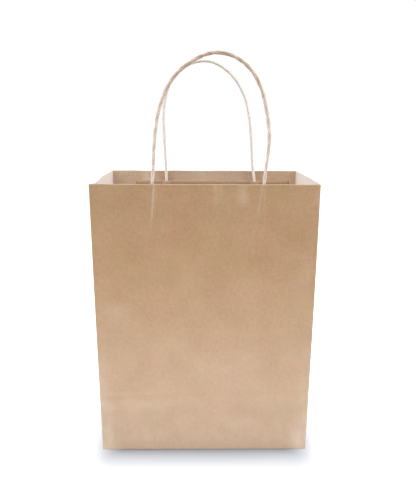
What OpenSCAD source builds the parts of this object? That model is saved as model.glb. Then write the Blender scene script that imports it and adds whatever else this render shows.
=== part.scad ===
// Kraft paper gift bag: a block-bottom bag with side gussets and two twisted
// paper handles, each glued between the two plies of a patch inside the rim.
// The bag is one folded sheet.  Its panels are separate solids that meet at
// the creases, so that the bag can fold flat.
// Origin: centre of the bottom, on the surface that the bag stands on.
// +X to the right, -Y to the front, +Z up.  Units: millimetres.

/* [Bag] */
// Width of the bag across the front
bag_w = 203; // [195:1:300]
// Depth of the bag from front to back
bag_d = 121; // [100:1:150]
// Height of the bag from the bottom to the rim
bag_h = 266; // [220:1:400]
// Thickness of the kraft paper
paper_t = 0.25; // [0.15:0.05:0.5]
// Clear width left between two panels at a crease
crease_gap = 0.1; // [0.05:0.05:0.2]

/* [Bottom] */
// Overlap of the front and rear flaps where they are glued
flap_overlap = 28; // [15:1:40]
// How far each side fold laps past the point where the flaps' edges cross
side_fold_lap = 8; // [4:1:20]
// Relief at the front and rear edges of a side fold, for the creases there
side_fold_relief = 1; // [0.5:0.5:3]

/* [Side seam] */
// Width of the glued flap along the side seam
seam_w = 15; // [10:1:25]
// Distance of the seam flap from the corner crease
seam_inset = 4; // [3:0.5:8]

/* [Handle patches] */
// Width of a handle patch
patch_w = 170; // [140:1:180]
// Height of a handle patch
patch_h = 40; // [34:1:60]
// Distance from the rim down to a patch
patch_drop = 11; // [5:1:15]
// Sideways shift of the front patch
front_patch_shift = 3; // [-5:1:5]
// Sideways shift of the rear patch
rear_patch_shift = 9; // [-9:1:9]

/* [Handles] */
// Diameter of the twisted paper cord
cord_d = 3.2; // [2.6:0.1:4]
// Play between a glued cord end and the plies around it
cord_play = 0.05; // [0.02:0.01:0.1]
// Paper left below a cord's end in its patch
cord_end_margin = 5; // [3:1:12]
// Height over the rim at which the cord bends, to its underside
bend_rise = 0.7; // [0.5:0.1:1.5]
// Gap between a cord's glued end and its bending loop
bend_gap = 0.35; // [0.3:0.05:0.5]

/* [Hidden] */

kraft = "#BD9C78";
kraft_inside = "#C6A88A";
ply_paper = "#CDB393";
cord_paper = "#D2B795";

half_w = bag_w / 2;
half_d = bag_d / 2;
inner_w = half_w - paper_t;
inner_d = half_d - paper_t;
// Height at which the diagonal creases start: the folded bottom's thickness,
// less the sheet that turns the corner
bottom_layers = 3;
diagonal_foot = (bottom_layers - 1) * paper_t;
// The bottom folds up along a level crease across the front, at half the depth.
fold_z = half_d + diagonal_foot;

cord_r = cord_d / 2;
bend_z = bag_h + bend_rise + cord_r;
// Distance of a cord's centre line from the outside of its panel
cord_inset = 2 * paper_t + cord_play + cord_r;
cord_y = half_d - cord_inset;
patch_top = bag_h - patch_drop;
patch_foot = patch_top - patch_h;
cord_foot = patch_foot + cord_end_margin;
tunnel_r = cord_r + cord_play;

// Routes of the two cords over the rim: sideways place and height over the
// rim.  Their ends bend at bend_z and go straight down into the patches.
front_route = [
    [-46.5, bend_z - bag_h], [-45.5, 14], [-43.5, 31], [-40.5, 54], [-36.5, 69],
    [-31.5, 81], [-25, 90.5], [-16.5, 98], [-7, 104], [2, 107.5],
    [11, 108.5], [21, 107], [30.5, 102], [38, 95.5], [44, 88],
    [48.5, 79], [51.5, 69], [55, 54], [56.5, 39], [56, 24],
    [54.5, 11], [53.5, bend_z - bag_h],
];
rear_route = [
    [-42.5, bend_z - bag_h], [-42.5, 14], [-43.5, 35], [-44, 54], [-43.5, 66],
    [-41.5, 78], [-38, 88.5], [-31, 99], [-22, 107], [-12, 112],
    [-2.5, 113.5], [6.5, 113], [16, 109], [25.5, 102], [33, 94],
    [38.5, 85], [43, 74], [46.5, 60], [49.5, 45], [50.5, 28],
    [50.5, 14], [50.5, bend_z - bag_h],
];
rings_per_span = 2;
cord_sides = 8;
dome_rings = 2;

// ---- sheets ---------------------------------------------------------------

// A sheet in the plane of the front panel; points are [x, z].
module front_sheet(points)
    translate([0, -half_d + paper_t, 0])
        rotate([90, 0, 0])
            linear_extrude(height = paper_t) polygon(points);

// A sheet in the plane of the left side; points are [y, z].
module left_sheet(points)
    translate([-half_w, 0, 0])
        rotate([90, 0, 90])
            linear_extrude(height = paper_t) polygon(points);

// A sheet in a layer of the bottom, counted from the outside; points [x, y].
module bottom_sheet(layer, points)
    translate([0, 0, layer * paper_t])
        linear_extrude(height = paper_t) polygon(points);

module on_right() mirror([1, 0, 0]) children();

module at_back() mirror([0, 1, 0]) children();

function rectangle(x0, x1, z0, z1) = [[x0, z0], [x1, z0], [x1, z1], [x0, z1]];

// ---- large panels ---------------------------------------------------------

module back_panel()
    color(kraft_inside)
        at_back() front_sheet(rectangle(-half_w, half_w, 0, bag_h));

module front_panel()
    color(kraft)
        front_sheet(rectangle(-half_w, half_w, fold_z + crease_gap / 2, bag_h));

// The strip under the crease, which turns outwards as the bottom folds up.
module front_foot_strip()
    color(kraft)
        front_sheet(rectangle(-half_w, half_w, 0, fold_z - crease_gap / 2));

// ---- side gussets ---------------------------------------------------------

// Where a side sheet ends beside the front or back panel
side_edge = inner_d - crease_gap;
// Shift of a 45 degree cut that leaves half of a crease's gap
cut_shift = crease_gap / 2 * sqrt(2);
// Half of the gap at the crease down the middle of a side
mid_gap = crease_gap / 2;

// The rear half of a side: its foot is cut along the diagonal crease.
module rear_gusset()
    left_sheet([
        [mid_gap, bag_h],
        [mid_gap, fold_z - mid_gap + cut_shift],
        [side_edge, fold_z - side_edge + cut_shift],
        [side_edge, bag_h],
    ]);

// The front half of a side, from the level crease up.
module front_gusset()
    left_sheet(rectangle(-side_edge, -mid_gap, fold_z + crease_gap / 2, bag_h));

module left_rear_gusset() color(kraft) rear_gusset();
module left_front_gusset() color(kraft) front_gusset();
module right_rear_gusset() color(kraft) on_right() rear_gusset();
module right_front_gusset() color(kraft) on_right() front_gusset();

// The glued flap of the side seam, inside the right front corner.
module side_seam_flap()
    color(kraft_inside)
        on_right()
            translate([paper_t, 0, 0])
                left_sheet(rectangle(
                    -inner_d + seam_inset,
                    -inner_d + seam_inset + seam_w,
                    fold_z + crease_gap / 2,
                    bag_h
                ));

// The triangle at the foot of a side, between the two diagonal creases.
module foot_triangle()
    left_sheet([
        [-side_edge, 0],
        [side_edge, 0],
        [side_edge, fold_z - side_edge - cut_shift],
        [0, fold_z - cut_shift],
        [-side_edge, fold_z - side_edge - cut_shift],
    ]);

// The corner between the front's crease and the side's front diagonal.
module front_corner()
    left_sheet([
        [-side_edge, fold_z - side_edge + cut_shift],
        [-mid_gap - cut_shift, fold_z - crease_gap / 2],
        [-side_edge, fold_z - crease_gap / 2],
    ]);

module left_foot_triangle() color(kraft) foot_triangle();
module right_foot_triangle() color(kraft) on_right() foot_triangle();
module left_front_corner() color(kraft) front_corner();
module right_front_corner() color(kraft) on_right() front_corner();

// ---- block bottom ---------------------------------------------------------

// Half sizes of the folded bottom inside the four walls
floor_w = inner_w - crease_gap;
floor_d = inner_d - crease_gap;
flap_depth = floor_d + flap_overlap / 2;

// A flap that narrows at 45 degrees from the full width to its glued edge.
module flap(layer)
    bottom_sheet(layer, [
        [-floor_w, -floor_d],
        [floor_w, -floor_d],
        [floor_w - flap_depth, -floor_d + flap_depth],
        [-floor_w + flap_depth, -floor_d + flap_depth],
    ]);

// A side fold, as deep as the bag, which closes the window between the flaps.
module side_fold(layer)
    bottom_sheet(layer, rectangle(
        -floor_w,
        -floor_w + floor_d + side_fold_lap,
        -floor_d + side_fold_relief,
        floor_d - side_fold_relief
    ));

module bottom_front_flap() color(kraft) flap(0);
module bottom_rear_flap() color(kraft) at_back() flap(1);
module bottom_left_fold() color(kraft_inside) side_fold(2);
module bottom_right_fold() color(kraft_inside) on_right() side_fold(2);

// ---- handle patches -------------------------------------------------------

function leg_places(route) = [route[0][0], route[len(route) - 1][0]];

// The flat ply that is glued to the panel; shift moves it sideways.
module outer_ply(shift)
    translate([0, paper_t, 0])
        front_sheet(rectangle(
            shift - patch_w / 2, shift + patch_w / 2, patch_foot, patch_top
        ));

// The ply that is glued over the cord ends, with a tunnel for each of them.
module inner_ply(shift, legs)
    translate([0, -half_d + 2 * paper_t, patch_foot])
        linear_extrude(height = patch_h)
            difference() {
                union() {
                    translate([shift - patch_w / 2, 0]) square([patch_w, paper_t]);
                    for (x = legs) tunnel_section(x, tunnel_r + paper_t);
                }
                for (x = legs) tunnel_section(x, tunnel_r);
            }

// Section of a tunnel over a cord at x: round on top, straight at its foot.
module tunnel_section(x, r) {
    translate([x, tunnel_r]) circle(r = r, $fn = 48);
    translate([x - r, -paper_t]) square([2 * r, tunnel_r + paper_t]);
}

// Keeps what lies on the bag's side of the flat ply.
module trimmed_inner_ply(shift, legs)
    intersection() {
        inner_ply(shift, legs);
        translate([-half_w, -half_d + 2 * paper_t, patch_foot])
            cube([bag_w, cord_d * 2, patch_h]);
    }

module front_patch_outer_ply() color(ply_paper) outer_ply(front_patch_shift);
module rear_patch_outer_ply() color(ply_paper) at_back() outer_ply(rear_patch_shift);
module front_patch_inner_ply()
    color(ply_paper) trimmed_inner_ply(front_patch_shift, leg_places(front_route));
module rear_patch_inner_ply()
    color(ply_paper) at_back() trimmed_inner_ply(rear_patch_shift, leg_places(rear_route));

// ---- handles --------------------------------------------------------------

// The two straight ends of a cord, glued between the plies.
module handle_ends(legs)
    for (x = legs)
        translate([x, -cord_y, cord_foot])
            cylinder(h = bend_z - cord_r - bend_gap - cord_foot, r = cord_r, $fn = 48);

// A point on the smooth curve through a route, u from 0 to 1 after point i.
function clamp_at(p, i) = p[max(0, min(len(p) - 1, i))];
function curve(p, i, u) =
    let (a = clamp_at(p, i - 1), b = clamp_at(p, i), c = clamp_at(p, i + 1), d = clamp_at(p, i + 2))
    0.5 * (2 * b + (c - a) * u + (2 * a - 5 * b + 4 * c - d) * u * u
        + (3 * b - a - 3 * c + d) * u * u * u);
function centre_line(p) = [
    for (i = [0 : len(p) - 2], k = [0 : rings_per_span - 1]) curve(p, i, k / rings_per_span),
    p[len(p) - 1],
];
function unit(v) = v / norm(v);
// Direction of travel at each point; a cord leaves and enters the bag upright.
function direction(line, i) =
    i == 0 ? [0, 1]
    : i == len(line) - 1 ? [0, -1]
    : unit(line[i + 1] - line[i - 1]);

// One ring of the tube round point p, square to direction d.
function ring(p, d, r) = [
    for (k = [0 : cord_sides - 1])
        let (a = 360 / cord_sides * (k + 0.5))
        [p[0] - d[1] * r * cos(a), r * sin(a), p[1] + d[0] * r * cos(a)]
];

// Rings of a round end that closes the tube; from = -1 at its start, 1 at its end.
function dome(p, d, from) = [
    for (k = [1 : dome_rings])
        let (a = 90 * (from < 0 ? dome_rings + 1 - k : k) / (dome_rings + 1))
        ring(p + from * d * cord_r * sin(a), d, cord_r * cos(a))
];

module tube(rings) {
    n = cord_sides;
    last = len(rings) - 1;
    points = [for (r = rings) each r];
    sides = [
        for (i = [0 : last - 1], k = [0 : n - 1])
            let (a = i * n + k, b = i * n + (k + 1) % n)
            each [[a, b, b + n], [a, b + n, a + n]]
    ];
    start = [for (k = [1 : n - 2]) [0, k + 1, k]];
    end = [for (k = [1 : n - 2]) [last * n, last * n + k, last * n + k + 1]];
    polyhedron(points = points, faces = concat(sides, start, end), convexity = 6);
}

// The loop of a cord over the rim, with a round end where it bends.
module handle_loop(route)
    let (line = centre_line(route), last = len(line) - 1)
    translate([0, -cord_y, bag_h])
        tube(concat(
            dome(line[0], direction(line, 0), -1),
            [for (i = [0 : last]) ring(line[i], direction(line, i), cord_r)],
            dome(line[last], direction(line, last), 1)
        ));

module front_handle_ends() color(cord_paper) handle_ends(leg_places(front_route));
module rear_handle_ends() color(cord_paper) at_back() handle_ends(leg_places(rear_route));
module front_handle() color(cord_paper) handle_loop(front_route);
module rear_handle() color(cord_paper) at_back() handle_loop(rear_route);

back_panel();
front_panel();
front_foot_strip();
left_rear_gusset();
left_front_gusset();
right_rear_gusset();
right_front_gusset();
side_seam_flap();
left_foot_triangle();
right_foot_triangle();
left_front_corner();
right_front_corner();
bottom_front_flap();
bottom_rear_flap();
bottom_left_fold();
bottom_right_fold();
front_patch_outer_ply();
front_patch_inner_ply();
rear_patch_outer_ply();
rear_patch_inner_ply();
front_handle_ends();
rear_handle_ends();
front_handle();
rear_handle();
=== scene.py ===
"""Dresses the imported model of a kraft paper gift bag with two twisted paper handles.

The bag is one sheet of kraft paper, folded into a block-bottom bag with side gussets.
Each cord is glued between the two plies of a patch inside the rim.
Lengths in this file are millimetres, and the finished meshes are in metres.
"""

import math

import bmesh
import bpy
import numpy as np
from bpy.props import FloatProperty, FloatVectorProperty, PointerProperty
from mathutils import Matrix, Vector


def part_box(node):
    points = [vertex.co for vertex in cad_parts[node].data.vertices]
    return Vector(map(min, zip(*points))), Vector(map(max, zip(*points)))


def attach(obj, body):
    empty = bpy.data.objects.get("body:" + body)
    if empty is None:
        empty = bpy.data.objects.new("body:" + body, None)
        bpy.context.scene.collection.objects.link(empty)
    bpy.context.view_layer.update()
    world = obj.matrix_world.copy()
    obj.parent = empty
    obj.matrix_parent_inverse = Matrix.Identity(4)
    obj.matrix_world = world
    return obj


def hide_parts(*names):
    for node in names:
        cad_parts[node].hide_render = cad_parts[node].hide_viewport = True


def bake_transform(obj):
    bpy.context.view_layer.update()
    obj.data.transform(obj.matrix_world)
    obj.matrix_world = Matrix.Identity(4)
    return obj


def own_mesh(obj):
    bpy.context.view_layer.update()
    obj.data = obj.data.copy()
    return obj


bl_info = {
    "name": "Kraft paper gift bag",
    "version": (1, 0, 0),
    "blender": (4, 5, 0),
    "location": "3D View > Sidebar > Gift bag",
    "description": "Builds the paper sheets, handle patches, cords and stage of a gift bag",
    "category": "Add Mesh",
}

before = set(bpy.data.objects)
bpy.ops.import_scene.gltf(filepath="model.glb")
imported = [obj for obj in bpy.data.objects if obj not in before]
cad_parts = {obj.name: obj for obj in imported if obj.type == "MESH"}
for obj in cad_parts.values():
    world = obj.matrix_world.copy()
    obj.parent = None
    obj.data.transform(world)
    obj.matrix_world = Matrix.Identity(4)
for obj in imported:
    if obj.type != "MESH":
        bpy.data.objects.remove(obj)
bpy.context.view_layer.update()

MM = 0.001


def node_box(name):
    """Lowest and highest corner of a CAD node, in millimetres."""
    low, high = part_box(name)
    return np.array(low) / MM, np.array(high) / MM


# ---- sizes read from the frame ---------------------------------------------

BACK_LOW, BACK_HIGH = node_box("back_panel")
HALF_W, HALF_D, BAG_H = BACK_HIGH
PAPER_T = BACK_HIGH[1] - BACK_LOW[1]
# Height of the level crease across the front
FOLD_Z = (node_box("front_panel")[0][2] + node_box("front_foot_strip")[1][2]) / 2
FLAP_EDGE = node_box("bottom_front_flap")[1][1]
SEAM_LOW, SEAM_HIGH = node_box("side_seam_flap")
FRONT_PATCH = node_box("front_patch_outer_ply")
REAR_PATCH = node_box("rear_patch_outer_ply")
ENDS_LOW, ENDS_HIGH = node_box("front_handle_ends")
CORD_Y = -(ENDS_LOW[1] + ENDS_HIGH[1]) / 2
CORD_FOOT = ENDS_LOW[2]
CORD_R = (ENDS_HIGH[1] - ENDS_LOW[1]) / 2
# Distance in front of a gusset's middle crease at which its front half starts
GUSSET_SPLIT = 2.0
SIDES = (("left", -1), ("right", 1))
# Height over which a bulge under the rim, and the ridge at the level crease, die away
RIM_REACH, KINK_REACH = 75, 22
# Share of a fresh crease's depth that the level crease has kept
CREASE_KEPT = 0.16

# Sideways place and height over the rim of the cords' centre lines
FRONT_ROUTE = [
    (-46, 2.3), (-45, 14), (-43.9, 31), (-41, 54), (-36.8, 69),
    (-31.6, 80.6), (-25, 90), (-16.5, 97.6), (-7, 103.4), (2, 107),
    (11, 108), (21, 106.2), (30.4, 101.4), (37.6, 95), (43.3, 87.2),
    (47.5, 78.4), (50.6, 68.4), (53.7, 53.4), (55.1, 39), (54.3, 24.5),
    (52.9, 12), (52, 2.3),
]
REAR_ROUTE = [
    (-42.4, 2.3), (-42.7, 14), (-43.6, 35), (-44.2, 54), (-43.6, 66),
    (-41.6, 78), (-38, 88.8), (-31, 99.3), (-22, 107.3), (-12, 112.3),
    (-2.5, 113.9), (6.5, 113.3), (16, 109.5), (26, 102.4), (33.7, 94),
    (39.5, 84.5), (44.1, 73.6), (47.3, 60.4), (49.6, 45), (51, 28),
    (52, 12), (53, 2.3),
]
# Sideways place of the glued cord ends at the rim, at the patch's top edge and at their foot
FRONT_ENDS = ((-46.2, -46.9, -49), (51.8, 50.5, 46.8))
REAR_ENDS = ((-42.2, -41.9, -41.4), (53.3, 55.2, 57))


def end_place(end, up):
    """Sideways place of a glued cord end at that height."""
    return np.interp(BAG_H - up, (0, BAG_H - REAR_PATCH[1][2], BAG_H - CORD_FOOT), end)


def srgb(code):
    """Linear colour of an sRGB hex value."""
    channels = [int(code[i : i + 2], 16) / 255 for i in (1, 3, 5)]
    return tuple(
        c / 12.92 if c <= 0.04045 else ((c + 0.055) / 1.055) ** 2.4 for c in channels
    )


# ---- settings --------------------------------------------------------------


def size(name, description, default, low=0.0, high=20.0):
    """A size in millimetres, shown in the sidebar."""
    return FloatProperty(
        name=name, description=description, default=default, min=low, max=high
    )


def factor(name, description, default):
    """A share of a whole, shown in the sidebar."""
    return FloatProperty(
        name=name, description=description, default=default, min=0.0, max=0.5, subtype="FACTOR"
    )


def strength(name, description, default):
    """The strength of a light, shown in the sidebar."""
    return FloatProperty(name=name, description=description, default=default, min=0.0)


def colour(name, description, code):
    """A colour, given as its sRGB hex value."""
    return FloatVectorProperty(
        name=name, description=description, subtype="COLOR", size=3,
        min=0.0, max=1.0, default=srgb(code),
    )


class SheetSettings(bpy.types.PropertyGroup):
    """Sizes of the folded sheet, in millimetres."""

    corner_radius: size("Corner radius", "Outer radius of a creased corner", 0.7, 0.3, 3)
    mesh_step: size("Mesh step", "Width of a mesh cell on a plain stretch", 3.0, 1, 10)
    edge_bow: size("Edge bow", "Outward bow of the upright corners at half height", 0.4)
    front_dish: size("Front dish", "Depth by which the front panel bows inwards", 0.6)
    crease_depth: size("Crease depth", "Depth of the groove along a pressed crease", 0.14)
    crease_width: size("Crease width", "Half width of that groove", 0.55, 0.2, 3)
    foot_kink: size("Foot kink", "Height of the ridge left along the level crease", 0.55)
    ridge_height: size("Ridge height", "Height of the paper over a glued cord end", 0.3)
    ridge_width: size("Ridge width", "Half width of the paper ridge over a cord end", 3.6)
    left_tuck: size("Left tuck", "Inward fold of the left gusset behind its front crease", 4.8)
    right_belly: size("Right belly", "Outward bow of the right gusset at the rim", 0.9)
    rim_wave: size("Rim wave", "Height of the uneven cut along the rim", 0.16)


class CordSettings(bpy.types.PropertyGroup):
    """Sizes of the twisted cords, in millimetres."""

    front_ply: size("Front ply", "Radius of one of the two plies of the front cord", 1.2, 0.3, 2)
    rear_ply: size("Rear ply", "Radius of one of the two plies of the rear cord", 1.46, 0.3, 2)
    lay_length: size("Lay length", "Length in which the plies make one whole turn", 24.0, 4, 40)
    step: size("Step", "Distance between two rings of the cord's mesh", 0.5, 0.2, 2)
    unevenness: factor("Unevenness", "Share by which the thickness varies", 0.05)
    front_loosening: factor("Front loosening", "Share by which the held stretch thickens", 0.3)
    rear_loosening: factor("Rear loosening", "Share by which the held stretch thickens", 0.1)


class PaperColours(bpy.types.PropertyGroup):
    """Colours of the papers."""

    kraft: colour("Kraft outside", "Machine-finished kraft paper, outside", "#B99576")
    kraft_fibre: colour("Kraft fibre", "Its darker fibres and specks", "#9C7953")
    inside_fibre: colour("Inside fibre", "Darker fibres of the rough side", "#A17E5A")
    olive: colour("Olive", "Olive cast of unbleached pulp", "#A89B6C")
    kraft_inside: colour("Kraft inside", "The paper's rougher inside", "#D2BCA7")
    # Painted light: this pale colour stands for the light that falls on the gussets' insides below
    # the rim
    gusset_inside_painted_light: colour("Gusset inside", "The inside of the gussets, rubbed pale", "#E2DDD8")
    # Painted light and wear: paler paper, mostly painted highlights over ridges and painted light
    # at the foot and corners, with some paler patches
    paler_light_and_wear: colour("Rubbed", "Where handling has rubbed the paper pale", "#EADCCB")
    # Painted reflection: this paler, greyer colour towards the foot stands for the floor's light
    # seen in the paper's sheen
    foot_painted_sheen: colour("Dusty", "Dust that greys the paper towards the foot", "#C4B4AA")
    # Painted shade and mottling: darker paper, mostly painted shade in creases, corners and beside
    # the ridges over the cord ends, with some darker mottling
    darker_shade_and_mottle: colour("Browned", "Where the glue under the paper darkens it", "#A06C44")
    cut_edge: colour("Cut edge", "The torn fibres of a cut edge", "#DCC8AE")
    patch: colour("Patch", "Paper of the handle patches", "#A5876B")
    front_cord: colour("Front cord", "Twisted paper cord of the front handle", "#D6CABD")
    # The shade colours serve for painted shade in a cord's grooves, and for its browner held
    # stretch
    front_shade: colour("Front cord shade", "Its grooves and the stretch that is held", "#A8805C")
    # Painted light: the rear cord's colours are a paler copy of the front cord's
    rear_cord: colour("Rear cord", "Twisted paper cord of the rear handle", "#E3DDD6")
    rear_shade: colour("Rear cord shade", "Its grooves and the stretch that is held", "#D6C8B8")


class StageSettings(bpy.types.PropertyGroup):
    """Strengths of the light."""

    sky: strength("Sky", "Strength of the even light", 0.5)
    key_lamp: strength("Key lamp", "Power of the high front lamp", 7.7)
    back_lamp: strength("Back lamp", "Power of the high lamp behind", 8.0)
    side_lamps: strength("Side lamps", "Power of each side lamp", 8.0)
    low_lamp: strength("Low lamp", "Power of the low front lamp", 0.385)


class BagSettings(bpy.types.PropertyGroup):
    """All settings of the gift bag."""

    sheet: PointerProperty(type=SheetSettings)
    cord: PointerProperty(type=CordSettings)
    colours: PointerProperty(type=PaperColours)
    stage: PointerProperty(type=StageSettings)


def settings():
    """The settings of the open scene."""
    return bpy.context.scene.gift_bag


# ---- nodes and materials ---------------------------------------------------


def add_node(tree, kind, inputs=(), **values):
    """Adds a node, its values and its inputs: numbers, sockets or nodes, by name or in order."""
    node = tree.nodes.new(kind)
    for name, value in values.items():
        setattr(node, name, value)
    for name, value in inputs.items() if isinstance(inputs, dict) else enumerate(inputs):
        socket = node.inputs[name]
        if isinstance(value, bpy.types.Node):
            value = next(output for output in value.outputs if output.enabled)
        if isinstance(value, bpy.types.NodeSocket):
            tree.links.new(value, socket)
        else:
            socket.default_value = value
    return node


def rgba(colour_value):
    """A colour with full opacity, for a node's socket."""
    return (*colour_value, 1.0)


def empty_material(name):
    """A material whose node tree is still empty."""
    made = bpy.data.materials.new(name)
    made.use_nodes = True
    made.node_tree.nodes.clear()
    return made, made.node_tree


def paper_material(name, base, fibre, roughness, grains, foot=None, olive=0.0, rim=True):
    """Kraft paper: unbleached pulp pressed between felt and a polished roll, so it is
    matt with a faint sheen, and its fibres, flocks and tooth show as a fine speckle."""
    made, tree = empty_material(name)
    colours = settings().colours
    sheet_uv = add_node(tree, "ShaderNodeUVMap", uv_map="sheet").outputs[0]
    height = add_node(tree, "ShaderNodeSeparateXYZ", [sheet_uv]).outputs[1]

    def pattern(across, along, detail, rough, *spread):
        """Noise with a grain of those millimetres across and up the sheet, and its spread."""
        placed = add_node(tree, "ShaderNodeMapping", {
            "Vector": sheet_uv, "Scale": (1 / (across * MM), 1 / (along * MM), 1.0),
        })
        noise = add_node(
            tree, "ShaderNodeTexNoise",
            {"Vector": placed, "Scale": 1.0, "Detail": detail, "Roughness": rough},
            noise_dimensions="2D",
        )
        return noise, add_node(tree, "ShaderNodeMapRange", (noise, *spread))

    shares, relief = 0.0, 0.0
    for across, along, detail, rough, share, rise in grains:
        grain, spread = pattern(across, along, detail, rough, 0.3, 0.7, 0.0, share)
        shares = add_node(tree, "ShaderNodeMath", (shares, spread), operation="ADD")
        relief = add_node(tree, "ShaderNodeMath", (grain, rise, relief), operation="MULTIPLY_ADD")
    layers = [(shares, fibre)]
    if olive:
        # Pulp is never dyed, so its hue wanders, here to olive about every 34 mm
        layers.append((pattern(34, 34, 2.0, 0.5, 0.35, 0.7, 0.0, olive)[1], colours.olive))
    if foot:
        # The sheet changes evenly from near its rim down to the foot: outside, a painted reflection
        # of the floor, paler towards the foot; inside the gussets, painted light, pale at the rim
        painted_ramp = add_node(
            tree, "ShaderNodeMapRange",
            (height, BAG_H * MM * 0.8, BAG_H * MM * 0.12, 0.0, foot[0]),
            interpolation_type="SMOOTHSTEP",
        )
        layers.append((painted_ramp, foot[1]))
    # Marks that the mesh carries: the paler one is mostly painted highlights and painted light, the
    # darker one mostly painted shade, with some wear and mottling
    patchy = pattern(12, 20, 4.0, 0.5, 0.3, 0.7, 0.55, 1.45)[1]
    for mark in ("paler_light_and_wear", "darker_shade_and_mottle"):
        share = add_node(tree, "ShaderNodeAttribute", attribute_name=mark).outputs["Fac"]
        share = add_node(tree, "ShaderNodeMath", (share, patchy), operation="MULTIPLY")
        layers.append((share, getattr(colours, mark)))
    if rim:
        # The cut rim shows paler torn fibres along its last 0.9 mm, partly a painted highlight
        # along the rim's edge
        rim_band = add_node(
            tree, "ShaderNodeMapRange", (height, (BAG_H - 0.9) * MM, (BAG_H - 0.3) * MM, 0.0, 0.5)
        )
        layers.append((rim_band, colours.cut_edge))
    paint = rgba(base)
    for share, tint in layers:
        paint = add_node(
            tree, "ShaderNodeMix", {0: share, 6: paint, 7: rgba(tint)}, data_type="RGBA"
        )
    bump = add_node(
        tree, "ShaderNodeBump", {"Strength": 0.35, "Distance": 0.05 * MM, "Height": relief}
    )
    shader = add_node(tree, "ShaderNodeBsdfPrincipled", {
        "Base Color": paint, "Normal": bump, "Roughness": roughness, "IOR": 1.47,
        "Specular IOR Level": 0.4, "Sheen Weight": 0.12, "Sheen Roughness": 0.4,
    })
    add_node(tree, "ShaderNodeOutputMaterial", [shader])
    return made


def cut_edge_material(name, edge):
    """Cut edge of kraft paper: matt torn fibres, paler than the faces."""
    made, tree = empty_material(name)
    place = add_node(tree, "ShaderNodeTexCoord").outputs["Object"]
    # Fibre ends, drawn at 1.2 mm along the cut
    ends = add_node(
        tree, "ShaderNodeTexNoise", {"Vector": place, "Scale": 1 / (1.2 * MM), "Detail": 1.0}
    )
    darker = rgba(c * 0.86 for c in edge)
    paint = add_node(tree, "ShaderNodeMix", {0: ends, 6: rgba(edge), 7: darker}, data_type="RGBA")
    shader = add_node(tree, "ShaderNodeBsdfPrincipled", {
        "Base Color": paint, "Roughness": 0.85, "Specular IOR Level": 0.3,
    })
    add_node(tree, "ShaderNodeOutputMaterial", [shader])
    return made


def cord_material(name, base, shade):
    """Twisted paper cord: a folded strip of kraft paper, wound so tight that its edges
    show as fine lines round each ply, with painted shade in the grooves, and browner where it is
    held."""
    made, tree = empty_material(name)
    along, around, groove_shade, held = (
        add_node(tree, "ShaderNodeAttribute", attribute_name=mark).outputs["Fac"]
        for mark in ("along", "around", "groove_shade", "held")
    )
    # The edge of the wound strip runs once round a ply in 21 mm
    turns = add_node(
        tree, "ShaderNodeMath", (along, 1 / (21 * MM), around), operation="MULTIPLY_ADD"
    )
    phase = add_node(tree, "ShaderNodeMath", [turns], operation="FRACT")
    strip_edge = add_node(
        tree, "ShaderNodeMapRange", (phase, 0.0, 0.22, 1.0, 0.0), interpolation_type="SMOOTHSTEP"
    )
    # Blotches in the paper, about 9 mm along the cord and a fifth of the way round it
    spread = add_node(tree, "ShaderNodeCombineXYZ", (
        add_node(tree, "ShaderNodeMath", (along, 1 / (9 * MM)), operation="MULTIPLY"),
        add_node(tree, "ShaderNodeMath", (around, 5.0), operation="MULTIPLY"),
    ))
    blotch = add_node(
        tree, "ShaderNodeTexNoise", {"Vector": spread, "Scale": 1.0, "Detail": 3.0}
    )
    darker_share = add_node(tree, "ShaderNodeMapRange", (blotch, 0.35, 0.7, 0.0, 0.3))
    # Painted shade in the grooves, with the real strip edges, blotches and held stretch
    for share, most in ((strip_edge, 0.25), (groove_shade, 0.42), (held, 0.34)):
        darker_share = add_node(tree, "ShaderNodeMath", (share, most, darker_share), operation="MULTIPLY_ADD")
    paint = add_node(
        tree, "ShaderNodeMix", {0: darker_share, 6: rgba(base), 7: rgba(shade)}, data_type="RGBA"
    )
    rise = add_node(tree, "ShaderNodeMath", (1.0, strip_edge), operation="SUBTRACT")
    bump = add_node(
        tree, "ShaderNodeBump", {"Strength": 0.5, "Distance": 0.15 * MM, "Height": rise}
    )
    shader = add_node(tree, "ShaderNodeBsdfPrincipled", {
        "Base Color": paint, "Normal": bump, "Roughness": 0.72,
        "Specular IOR Level": 0.35, "Sheen Weight": 0.2,
    })
    add_node(tree, "ShaderNodeOutputMaterial", [shader])
    return made


# Patterns of the papers: millimetres across and up one grain, detail, roughness, share of
# the fibre colour, and share of the relief
FIBRES = (0.9, 6, 3.0, 0.6, 0.18, 0.6)  # coarser than the real ones, which are 0.03 mm wide
FLOCKS = (26, 26, 3.0, 0.5, 0.26, 0.0)  # where the pulp lies thicker
CLOUDS = (24, 24, 3.0, 0.55, 0.2, 0.0)  # the same, seen on the rough side
TOOTH = (1.3, 1.3, 2.0, 0.7, 0.3, 1.0)  # finer in truth, drawn so that it shows
SPECKS = (3.2, 3.2, 2.0, 0.6, 0.24, 0.3)  # clumps of brown fibre in unbleached pulp
FELT = (30, 1.8, 2.0, 0.5, 0.14, 0.3)  # marks of the felt, across the rough side


MATERIALS = {}


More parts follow.
